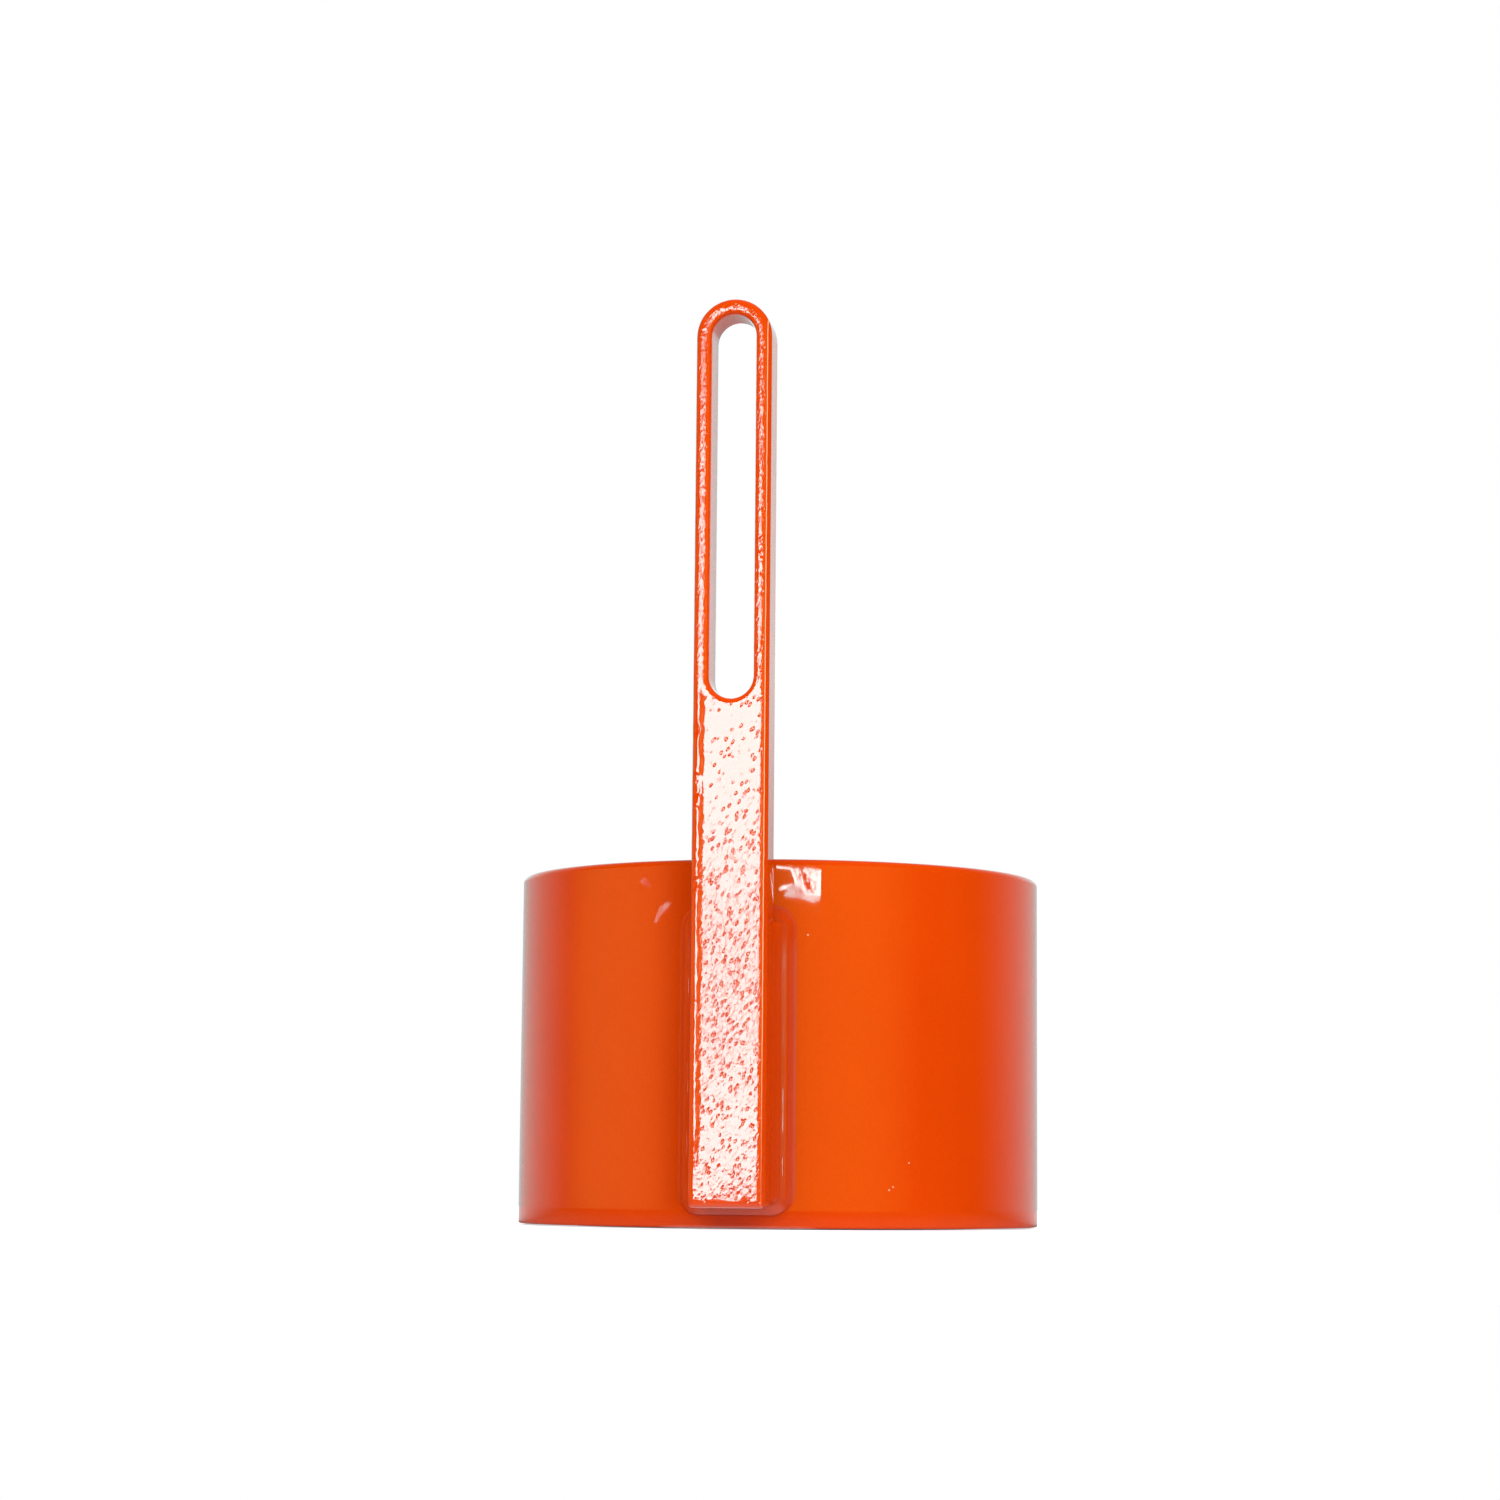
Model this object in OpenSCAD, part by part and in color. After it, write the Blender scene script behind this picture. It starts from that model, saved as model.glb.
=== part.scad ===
// Hand weight: a closed steel drum packed with ballast discs, with one
// slotted flat bar standing up its side on a rolled saddle plate.
// Origin: centre of the foot, on the floor plane. +Z up, the bar faces -Y.

/* [Body] */
// Outside diameter of the drum
body_d = 180; // [174:1:190]
// Height of the drum, floor to rim
body_h = 120; // [114:1:130]
// Wall thickness of the drum tube
wall = 13; // [12:0.5:16]
// Outer rounding of the rim
rim_round = 3; // [1:0.5:4]
// Outer rounding of the foot edge
foot_round = 1.2; // [0.5:0.1:2]

/* [Ends] */
// Thickness of the welded top plate
top_plate_t = 12; // [8:1:14]
// Depth of the top plate below the rim
top_recess = 3; // [3:0.5:6]
// Leg of the weld bead round the top plate
top_bead = 2.6; // [2:0.2:2.8]
// Thickness of the screwed base plate
base_plate_t = 8; // [6:1:10]
// Thickness of the rubber base pad
pad_t = 3; // [3:0.5:6]
// Diameter of the rubber base pad
pad_d = 148; // [130:1:150]
// Height of the drum's rim clear of the floor
foot_gap = 0.5; // [0.2:0.1:1]

/* [Ballast] */
// Thickness of the thin trim disc
trim_t = 10; // [4:1:14]
// Thickness of the packing sheet
packing_t = 1; // [1:0.5:3]
// Diameter of the lifting hole in each disc
disc_hole_d = 14; // [8:1:20]
// Clearance round each ballast disc
disc_gap = 0.4; // [0.2:0.1:1]

/* [Fasteners] */
// Number of base plate screws
screw_n = 6; // [4:1:8]
// Screw thread diameter
screw_d = 4; // [3:0.5:4]
// Screw length, head included
screw_len = 16; // [12:1:20]
// Screw circle radius inside the drum's outer radius
screw_in = 8.5; // [8:0.5:9]

/* [Bar] */
// Width of the flat bar
bar_w = 25; // [22:0.5:28]
// Thickness of the flat bar
bar_t = 15; // [12:0.5:18]
// Rounding of the bar's long edges
bar_round = 1.8; // [1:0.1:2.5]
// Height of the bar's lower end above the floor
bar_foot = 7; // [6.5:0.5:12]
// Width of the slot
slot_w = 14.6; // [10:0.2:15]
// Length of the slot, end to end
slot_l = 127; // [60:1:140]
// Height of the slot's lower end above the floor
slot_foot = 170.5; // [150:0.5:190]
// Rounding of the slot's edges
slot_round = 1.5; // [0.8:0.1:1.8]

/* [Saddle] */
// Width of the rolled saddle plate
saddle_w = 34; // [32:0.5:38]
// Thickness of the saddle plate
saddle_t = 3; // [2:0.5:4]
// Distance of the saddle's upper edge below the rim
saddle_drop = 18; // [14:1:30]
// Corner rounding of the saddle plate
saddle_corner = 5; // [3:0.5:7]
// Leg of the bead round the saddle
saddle_bead = 3; // [2:0.2:3.6]
// Leg of the beads along the bar's sides
bar_bead = 2.6; // [1.6:0.2:3]

/* [Hidden] */

body_r = body_d / 2;
bore_r = body_r - wall;
// The base plate seats in a counterbore that leaves a thin skirt.
skirt = 3.5;
seat_r = body_r - skirt;
seat_z = pad_t + base_plate_t;
plate_top = body_h - top_recess;
plate_bottom = plate_top - top_plate_t;
stack_h = plate_bottom - packing_t - trim_t - seat_z;
disc_t = stack_h / 4;
disc_r = bore_r - disc_gap;
screw_r = body_r - screw_in;
head_r = screw_d;
head_h = screw_d / 2;

saddle_r = body_r + saddle_t;
saddle_top = body_h - saddle_drop;
saddle_foot = bar_foot - 0.4;
bar_back = -saddle_r;
bar_front = bar_back - bar_t;
slot_lo = slot_foot + slot_w / 2;
slot_hi = slot_foot + slot_l - slot_w / 2;
bar_top = slot_hi + bar_w / 2;
fit = 0.02;

paint = "#EC5300";
raw = "#7D7F82";

// Corner waste: what a cutter takes to leave a rounded outer corner.
module corner(r) {
  difference() {
    square([r + 1, r + 1]);
    circle(r = r, $fn = 64);
  }
}

// Rounded rectangle about the origin.
module round_rect(w, h, r) {
  square([w - 2 * r, h], center = true);
  square([w, h - 2 * r], center = true);
  for (x = [-1, 1], y = [-1, 1])
    translate([x * (w / 2 - r), y * (h / 2 - r)]) circle(r = r, $fn = 64);
}

module ring_of(n, r) {
  for (i = [0 : n - 1]) rotate([0, 0, 360 * (i + 0.5) / n]) translate([r, 0, 0]) children();
}

// ---- drum ----
module body_shell() {
  color(paint) difference() {
    rotate_extrude($fn = 240) difference() {
      translate([bore_r, foot_gap]) square([wall, body_h - foot_gap]);
      translate([body_r - rim_round, body_h - rim_round]) corner(rim_round);
      translate([bore_r + 1, body_h - 1]) mirror([1, 0]) corner(1);
      translate([body_r - foot_round, foot_gap + foot_round]) mirror([0, 1]) corner(foot_round);
      square([seat_r, seat_z]);
    }
    ring_of(screw_n, screw_r)
      translate([0, 0, seat_z - 1]) cylinder(r = screw_d / 2 + 0.05, h = screw_len - base_plate_t + 3, $fn = 32);
  }
}

module top_plate() {
  color(paint) translate([0, 0, plate_bottom])
    cylinder(r = bore_r - 0.1, h = top_plate_t, $fn = 240);
}

module top_seam_weld() {
  color(paint) rotate_extrude($fn = 240)
    translate([bore_r - fit, plate_top + fit]) intersection() {
      circle(r = top_bead, $fn = 64);
      translate([-top_bead, 0]) square([top_bead, top_bead]);
    }
}

// ---- ballast ----
module disc_at(z, t) {
  color(raw) translate([0, 0, z]) difference() {
    cylinder(r = disc_r, h = t - fit, $fn = 180);
    translate([0, 0, -1]) cylinder(r = disc_hole_d / 2, h = t + 2, $fn = 48);
  }
}
module ballast_disc_1() { disc_at(seat_z + fit, disc_t); }
module ballast_disc_2() { disc_at(seat_z + fit + disc_t, disc_t); }
module ballast_disc_3() { disc_at(seat_z + fit + 2 * disc_t, disc_t); }
module ballast_disc_4() { disc_at(seat_z + fit + 3 * disc_t, disc_t); }
module trim_disc() { disc_at(seat_z + fit + 4 * disc_t, trim_t); }

module packing_sheet() {
  color("#3A3A38") translate([0, 0, plate_bottom - packing_t + fit])
    cylinder(r = disc_r - 2, h = packing_t - 2 * fit, $fn = 180);
}

// ---- base ----
module base_plate() {
  color(paint) difference() {
    translate([0, 0, pad_t]) cylinder(r = seat_r - 0.3, h = base_plate_t - fit, $fn = 240);
    ring_of(screw_n, screw_r) {
      translate([0, 0, pad_t - 1]) cylinder(r = screw_d / 2 + 0.2, h = base_plate_t + 2, $fn = 32);
      translate([0, 0, pad_t - 0.5])
        cylinder(r1 = head_r + 0.7, r2 = screw_d / 2 + 0.2, h = head_h + 0.5, $fn = 48);
    }
  }
}

module base_screws() {
  color("#B9BBBD") ring_of(screw_n, screw_r) difference() {
    translate([0, 0, pad_t + 0.1]) {
      cylinder(r1 = head_r, r2 = screw_d / 2, h = head_h, $fn = 48);
      cylinder(r = screw_d / 2, h = screw_len - 0.6, $fn = 32);
      translate([0, 0, screw_len - 0.6])
        cylinder(r1 = screw_d / 2, r2 = screw_d / 2 - 0.6, h = 0.6, $fn = 32);
    }
    // hexagon socket
    translate([0, 0, pad_t - 1]) cylinder(r = screw_d * 0.36, h = 1 + 0.1 + head_h * 0.7, $fn = 6);
  }
}

module base_pad() {
  color("#1E1E1F") rotate_extrude($fn = 240) difference() {
    square([pad_d / 2, pad_t - fit]);
    translate([pad_d / 2 - 1, 1]) mirror([0, 1]) corner(1);
    // shallow rings that grip the floor
    for (r = [18 : 14 : pad_d / 2 - 10]) translate([r, -1]) square([1.4, 2]);
  }
}

// ---- saddle ----
module saddle_outline(grow) {
  h = saddle_top - saddle_foot;
  translate([0, (saddle_top + saddle_foot) / 2])
    round_rect(saddle_w + 2 * grow, h + 2 * grow, saddle_corner + grow);
}

module saddle_plate() {
  color(paint) intersection() {
    difference() {
      cylinder(r = saddle_r - fit, h = body_h, $fn = 240);
      translate([0, 0, -1]) cylinder(r = body_r + fit, h = body_h + 2, $fn = 240);
    }
    rotate([90, 0, 0]) linear_extrude(height = body_r + 20) saddle_outline(0);
  }
}

// Bead round the saddle: one fillet section carried along the plate's outline
// and wrapped on to the drum.
function outline_pts(w, h, r, n) = [
  for (q = [0 : 3]) for (i = [0 : n])
    let (a = 90 * q + 90 * i / n,
         cx = (q == 0 || q == 3 ? 1 : -1) * (w / 2 - r),
         cy = (q < 2 ? 1 : -1) * (h / 2 - r))
      [cx + r * cos(a), cy + r * sin(a), cos(a), sin(a)]];
// Splits the long straight sides so that the bead follows the drum.
function densify(p, step) = [
  for (i = [0 : len(p) - 1])
    let (a = p[i], b = p[(i + 1) % len(p)],
         d = norm([b[0] - a[0], b[1] - a[1]]), m = max(1, ceil(d / step)))
      for (k = [0 : m - 1]) a + (b - a) * (k / m)];
function wrap(u, z, h) =
  let (r = body_r + h, a = asin(u / body_r)) [r * sin(a), -r * cos(a), z];

module saddle_weld() {
  h = saddle_top - saddle_foot;
  zc = (saddle_top + saddle_foot) / 2;
  path = densify(outline_pts(saddle_w, h, saddle_corner, 8), 9);
  sec = [for (i = [0 : 6]) let (a = 90 * i / 6)
           [0.05 + saddle_bead * sin(a), 0.06 + (saddle_t - 0.35) * cos(a)]];
  prof = concat([[0.05, 0.06]], sec);
  m = len(prof);
  n = len(path);
  pts = [for (p = path) for (s = prof)
           wrap(p[0] + p[2] * s[0], zc + p[1] + p[3] * s[0], s[1])];
  faces = [for (i = [0 : n - 1]) for (j = [0 : m - 1])
             let (a = i * m + j, b = i * m + (j + 1) % m,
                  c = ((i + 1) % n) * m + (j + 1) % m, d = ((i + 1) % n) * m + j)
               for (t = [[a, c, b], [a, d, c]]) t];
  color(paint) polyhedron(points = pts, faces = faces, convexity = 6);
}

// ---- bar ----
module half_section() {
  intersection() {
    round_rect(bar_w, bar_t, bar_round);
    translate([0, -bar_t]) square([bar_w, 2 * bar_t]);
  }
}

// Takes the sharp edge off the slot on one face.
module slot_edge() {
  translate([slot_w / 2 + slot_round, bar_t / 2 - slot_round]) mirror([1, 0]) difference() {
    square([slot_round + 1, slot_round + 1]);
    circle(r = slot_round, $fn = 64);
  }
}

module slot_cut() {
  mid = (bar_front + bar_back) / 2;
  translate([0, bar_front - 1, 0]) rotate([-90, 0, 0]) linear_extrude(height = bar_t + 2) {
    translate([0, -slot_lo]) circle(r = slot_w / 2, $fn = 96);
    translate([0, -slot_hi]) circle(r = slot_w / 2, $fn = 96);
    translate([-slot_w / 2, -slot_hi]) square([slot_w, slot_hi - slot_lo]);
  }
  for (f = [0, 1]) translate([0, mid, 0]) mirror([0, f, 0]) {
    for (s = [0, 1]) mirror([s, 0, 0])
      translate([0, 0, slot_lo]) linear_extrude(height = slot_hi - slot_lo) slot_edge();
    translate([0, 0, slot_hi]) rotate([-90, 0, 0]) rotate_extrude($fn = 96) slot_edge();
    translate([0, 0, slot_lo]) rotate([-90, 0, 0]) rotate_extrude($fn = 96) slot_edge();
  }
}

module handle_bar() {
  mid = (bar_front + bar_back) / 2;
  color(paint) difference() {
    union() {
      translate([0, mid, bar_foot]) linear_extrude(height = slot_hi - bar_foot)
        round_rect(bar_w, bar_t, bar_round);
      translate([0, mid, slot_hi]) rotate([-90, 0, 0]) rotate_extrude($fn = 96) half_section();
    }
    slot_cut();
    // lower end: rounded corners seen from the front, and an eased front edge
    for (s = [0, 1]) mirror([s, 0, 0])
      translate([bar_w / 2 - bar_round, 0, bar_foot + bar_round]) rotate([90, 0, 0])
        linear_extrude(height = -bar_front + 2) mirror([0, 1]) corner(bar_round);
    translate([-bar_w / 2 - 1, bar_front + bar_round, bar_foot + bar_round])
      rotate([90, 0, 90]) linear_extrude(height = bar_w + 2) rotate([0, 0, 180]) corner(bar_round);
  }
}

module side_bead(s) {
  color(paint) mirror([s, 0, 0])
    translate([0, 0, bar_foot + bar_round]) linear_extrude(height = saddle_top - saddle_corner / 2 - bar_foot - bar_round)
      difference() {
        polygon([
          [bar_w / 2 - 2, bar_back + fit], [bar_w / 2 + fit, bar_back + fit],
          [bar_w / 2 + fit, bar_back - bar_bead],
          [bar_w / 2 + fit + bar_bead * 0.35, bar_back - bar_bead * 0.85],
          [bar_w / 2 + fit + bar_bead * 0.75, bar_back - bar_bead * 0.4],
          [bar_w / 2 + fit + bar_bead, bar_back + 2.5], [bar_w / 2 - 2, bar_back + 2.5]]);
        circle(r = saddle_r + fit, $fn = 240);
      }
}
module bar_left_weld() { side_bead(1); }
module bar_right_weld() { side_bead(0); }

body_shell();
top_plate();
top_seam_weld();
ballast_disc_1();
ballast_disc_2();
ballast_disc_3();
ballast_disc_4();
trim_disc();
packing_sheet();
base_plate();
base_screws();
base_pad();
saddle_plate();
saddle_weld();
handle_bar();
bar_left_weld();
bar_right_weld();
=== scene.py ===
import bpy, bmesh, math
import numpy as np
from mathutils import Vector, Matrix, noise


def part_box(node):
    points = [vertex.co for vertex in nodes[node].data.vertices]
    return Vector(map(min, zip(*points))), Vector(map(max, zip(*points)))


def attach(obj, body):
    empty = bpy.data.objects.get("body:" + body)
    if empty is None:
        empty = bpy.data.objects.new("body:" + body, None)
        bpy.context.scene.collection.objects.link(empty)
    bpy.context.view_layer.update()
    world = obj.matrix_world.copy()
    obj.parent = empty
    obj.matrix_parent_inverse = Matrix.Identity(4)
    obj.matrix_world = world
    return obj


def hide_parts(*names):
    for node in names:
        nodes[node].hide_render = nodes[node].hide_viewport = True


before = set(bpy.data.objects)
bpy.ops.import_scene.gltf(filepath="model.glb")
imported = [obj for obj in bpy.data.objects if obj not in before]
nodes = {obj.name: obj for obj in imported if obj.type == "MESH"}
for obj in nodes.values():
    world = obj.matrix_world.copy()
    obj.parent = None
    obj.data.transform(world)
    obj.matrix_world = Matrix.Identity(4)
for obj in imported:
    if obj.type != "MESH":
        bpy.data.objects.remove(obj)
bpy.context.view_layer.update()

scene = bpy.context.scene

# ---------------------------------------------------------------- sizes, from the frame
d_lo, d_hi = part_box("body_shell")
R = min(d_hi[0], -d_lo[0], d_hi[1], -d_lo[1])   # drum radius
H = d_hi[2]                                    # rim height
Z0 = d_lo[2]                                   # lower edge of the drum wall
b_lo, b_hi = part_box("handle_bar")
BAR_W = b_hi[0] - b_lo[0]
BAR_FRONT, BAR_BACK = b_lo[1], b_hi[1]
BAR_Z0, BAR_Z1 = b_lo[2], b_hi[2]
t_lo, t_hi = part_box("top_plate")
BORE = t_hi[0] + 0.0001
PLATE_TOP = t_hi[2]
s_lo, s_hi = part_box("saddle_plate")
SAD_W, SAD_Z0, SAD_Z1 = s_hi[0] - s_lo[0], s_lo[2], s_hi[2]
SAD_R = -s_lo[1]
q_lo, q_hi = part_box("base_plate")
SEAT = q_hi[0] + 0.0003
SEAT_Z = q_hi[2]
CAM_AZ = math.radians(8.839)                   # the view is taken from the bar's right

# ---------------------------------------------------------------- camera
cam_data = bpy.data.cameras.new("camera")
cam = bpy.data.objects.new("camera", cam_data)
scene.collection.objects.link(cam)
scene.camera = cam
CAM_D = R * 13.465
cam_pos = Vector((CAM_D * math.sin(CAM_AZ), -CAM_D * math.cos(CAM_AZ), H * 0.142))
cam_data.sensor_width = 36.0
cam_data.lens = 82.89
cam_data.clip_start = 0.01
cam_data.clip_end = 50.0
yaw, pitch, roll = math.radians(0.522), math.radians(7.042), math.radians(0.497)
fw = Vector((-math.sin(CAM_AZ), math.cos(CAM_AZ), 0.0))
fw = Matrix.Rotation(yaw, 3, "Z") @ fw
right = fw.cross(Vector((0, 0, 1)))
fwd = math.cos(pitch) * fw + math.sin(pitch) * Vector((0, 0, 1))
up = right.cross(fwd)
r2 = math.cos(roll) * right + math.sin(roll) * up
u2 = -math.sin(roll) * right + math.cos(roll) * up
rot = Matrix((r2, u2, -fwd)).transposed()
cam.matrix_world = Matrix.Translation(cam_pos) @ rot.to_4x4()


# ---------------------------------------------------------------- node helpers
class Nodes:
    """Short forms for building a node tree."""

    def __init__(self, tree):
        self.t = tree

    def new(self, kind, **props):
        n = self.t.nodes.new(kind)
        for k, v in props.items():
            setattr(n, k, v)
        return n

    def link(self, a, b):
        self.t.links.new(a, b)

    def math(self, op, a, b=None, clamp=False):
        n = self.new("ShaderNodeMath", operation=op, use_clamp=clamp)
        for i, v in enumerate((a, b)):
            if v is None:
                continue
            if isinstance(v, (int, float)):
                n.inputs[i].default_value = v
            else:
                self.link(v, n.inputs[i])
        return n.outputs[0]

    def noise(self, vec, scale, detail=2.0, rough=0.5, dist=0.0):
        n = self.new("ShaderNodeTexNoise", noise_dimensions="3D")
        self.link(vec, n.inputs["Vector"])
        n.inputs["Scale"].default_value = scale
        n.inputs["Detail"].default_value = detail
        n.inputs["Roughness"].default_value = rough
        n.inputs["Distortion"].default_value = dist
        return n.outputs["Fac"]

    def voronoi(self, vec, scale, feature="F1", rand=1.0, smooth=None):
        n = self.new("ShaderNodeTexVoronoi", feature=feature)
        self.link(vec, n.inputs["Vector"])
        n.inputs["Scale"].default_value = scale
        n.inputs["Randomness"].default_value = rand
        if smooth is not None:
            n.inputs["Smoothness"].default_value = smooth
        return n.outputs["Distance"]

    def range(self, v, a, b, c=0.0, d=1.0, kind="SMOOTHSTEP"):
        n = self.new("ShaderNodeMapRange", interpolation_type=kind)
        self.link(v, n.inputs[0])
        for i, x in zip((1, 2, 3, 4), (a, b, c, d)):
            n.inputs[i].default_value = x
        return n.outputs[0]

    def mix(self, fac, a, b, kind="MIX"):
        n = self.new("ShaderNodeMix", data_type="RGBA", blend_type=kind)
        if isinstance(fac, (int, float)):
            n.inputs[0].default_value = fac
        else:
            self.link(fac, n.inputs[0])
        for i, v in ((6, a), (7, b)):
            if isinstance(v, tuple):
                n.inputs[i].default_value = (*v, 1.0)
            else:
                self.link(v, n.inputs[i])
        return n.outputs[2]


def material(name):
    m = bpy.data.materials.new(name)
    m.use_nodes = True
    t = m.node_tree
    t.nodes.clear()
    g = Nodes(t)
    out = g.new("ShaderNodeOutputMaterial")
    bsdf = g.new("ShaderNodeBsdfPrincipled")
    g.link(bsdf.outputs[0], out.inputs["Surface"])
    co = g.new("ShaderNodeTexCoord").outputs["Object"]
    return m, g, bsdf, co


ORANGE = (0.655, 0.0510, 0.0008)
ORANGE_DEEP = (0.625, 0.0465, 0.0007)
# dust nibs set in the drum's paint, on its wall
NIBS = ((0.0228, -0.0870, 0.0952), (0.0495, -0.0752, 0.0141), (0.0483, -0.0759, 0.0131), (0.0543, -0.0718, 0.0219))


def paint(name, peel=0.00002, peel_scale=260.0, rough=0.07, nibs=False, bar=False, flank=0.0, deep=1.0):
    """Gloss powder coat. peel is the height of the fine orange peel."""
    m, g, bsdf, co = material(name)
    blotch = g.range(g.noise(co, 14.0, 3.0, 0.55), 0.3, 0.7)
    col = g.mix(blotch, ORANGE, ORANGE_DEEP)
    # very fine pigment mottle
    fine = g.range(g.noise(co, 1300.0, 2.0, 0.6), 0.35, 0.65, 0.0, 0.16)
    col = g.mix(fine, col, (0.71, 0.078, 0.003))
    # sparse dust nibs set in the paint
    cell = g.voronoi(co, 55.0)
    nib = g.range(cell, 0.012, 0.022, 1.0, 0.0)
    keep = g.range(g.noise(co, 21.0, 1.0, 0.5), 0.66, 0.69)
    nib = g.math("MULTIPLY", nib, keep)
    if nibs:
        for p in NIBS:
            d = g.new("ShaderNodeVectorMath", operation="DISTANCE")
            g.link(co, d.inputs[0])
            d.inputs[1].default_value = p
            nib = g.math("MAXIMUM", nib, g.range(d.outputs["Value"], 0.00012, 0.00048, 0.8, 0.0))
    col = g.mix(g.math("MULTIPLY", nib, 0.8), col, (0.95, 0.55, 0.32))
    if bar:
        # painted highlight along the bar's right front corner
        col = g.mix(painted_edge_highlight(g, co), col, (0.93, 0.50, 0.27))
    if nibs:
        # painted shade: the drum's colour is darkened up to 13 % in a band either side of the bar on the front, where
        # the bar shades the wall; less of it near the foot and at the top right of the bar
        bar_shade_xyz = g.new("ShaderNodeSeparateXYZ")
        g.link(co, bar_shade_xyz.inputs[0])
        painted_bar_shade = g.math("MULTIPLY", g.range(bar_shade_xyz.outputs[0], -0.030, -0.018, 0.0, 0.13), g.range(bar_shade_xyz.outputs[0], 0.012, 0.024, 1.0, 0.0))
        painted_bar_shade = g.math("MULTIPLY", painted_bar_shade, g.range(bar_shade_xyz.outputs[1], -0.070, -0.050, 1.0, 0.0))
        painted_bar_shade = g.math("MULTIPLY", painted_bar_shade, g.range(bar_shade_xyz.outputs[2], 0.004, 0.012, 0.0, 1.0))
        bar_shade_top_cut = g.math("MULTIPLY", g.range(bar_shade_xyz.outputs[2], 0.098, 0.108, 0.0, 0.9), g.range(bar_shade_xyz.outputs[0], -0.002, 0.002, 0.0, 1.0))
        painted_bar_shade = g.math("MULTIPLY", painted_bar_shade, g.math("SUBTRACT", 1.0, bar_shade_top_cut))
        col = g.mix(painted_bar_shade, col, (0.0, 0.0, 0.0))
    # painted shade: the weld paint is darkened by 1 - deep, for the shade that lies on the saddle beside the bar
    if deep < 1.0:
        col = g.mix(1.0 - deep, col, (0.0, 0.0, 0.0))
    g.link(col, bsdf.inputs["Base Color"])
    # roughness: faint haze, never uniform
    haze = g.noise(co, 38.0, 4.0, 0.6)
    ro = g.range(haze, 0.3, 0.72, rough * 0.75, rough * 1.45)
    if flank:
        # the coat lies drier on the steep flank of the dressed bead than on the flat
        sep = g.new("ShaderNodeSeparateXYZ")
        g.link(co, sep.inputs[0])
        rr = g.math("SQRT", g.math("ADD", g.math("MULTIPLY", sep.outputs[0], sep.outputs[0]), g.math("MULTIPLY", sep.outputs[1], sep.outputs[1])))
        up = g.math("SUBTRACT", rr, R)
        dry = g.math("MULTIPLY", g.range(up, 0.00262, 0.00215, 0.0, 1.0), g.range(sep.outputs[2], SAD_Z0 - 0.0005, SAD_Z0 + 0.004, 0.0, 1.0))
        ro = g.math("MAXIMUM", ro, g.math("MULTIPLY", dry, flank))
        quiet = g.math("MAXIMUM", g.range(sep.outputs[0], -0.010, -0.015, 0.0, 1.0), g.range(sep.outputs[2], SAD_Z1 - 0.016, SAD_Z1 - 0.004, 0.0, 1.0))
        g.link(g.range(quiet, 0.0, 1.0, 0.5, 0.13), bsdf.inputs["Specular IOR Level"])
    g.link(ro, bsdf.inputs["Roughness"])
    bsdf.inputs["IOR"].default_value = 1.5
    # height, in metres
    h = g.math("MULTIPLY", g.noise(co, peel_scale, 1.5, 0.5), peel)
    h = g.math("ADD", h, g.math("MULTIPLY", nib, 0.00006))
    if bar:
        h = g.math("ADD", h, bar_height(g, co))
    bump = g.new("ShaderNodeBump")
    bump.inputs["Strength"].default_value = 1.0
    bump.inputs["Distance"].default_value = 1.0
    g.link(h, bump.inputs["Height"])
    g.link(bump.outputs[0], bsdf.inputs["Normal"])
    return m


SLOT_HALF, SLOT_R = 0.0562, 0.0073            # half the distance between the slot's end centres, and its radius
SLOT_Z = 0.234


def painted_edge_highlight(g, co):
    """Painted highlight: a light, ragged line along the bar's right front corner, where the edge glints; weaker
    towards the bottom.
    """
    sep = g.new("ShaderNodeSeparateXYZ")
    g.link(co, sep.inputs[0])
    x, y, z = sep.outputs
    jag = g.math("MULTIPLY", g.math("SUBTRACT", g.noise(co, 240.0, 2.0, 0.6), 0.5), 0.0003)
    d = g.math("ABSOLUTE", g.math("SUBTRACT", g.math("ADD", x, jag), BAR_W / 2 - 0.00118))
    line = g.range(d, 0.00006, 0.00020, 0.85, 0.0)
    fade = g.range(z, 0.012, 0.075, 0.25, 1.0)
    front = g.range(y, BAR_FRONT + 0.0010, BAR_FRONT + 0.0018, 1.0, 0.0)
    return g.math("MULTIPLY", g.math("MULTIPLY", line, fade), front)


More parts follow.
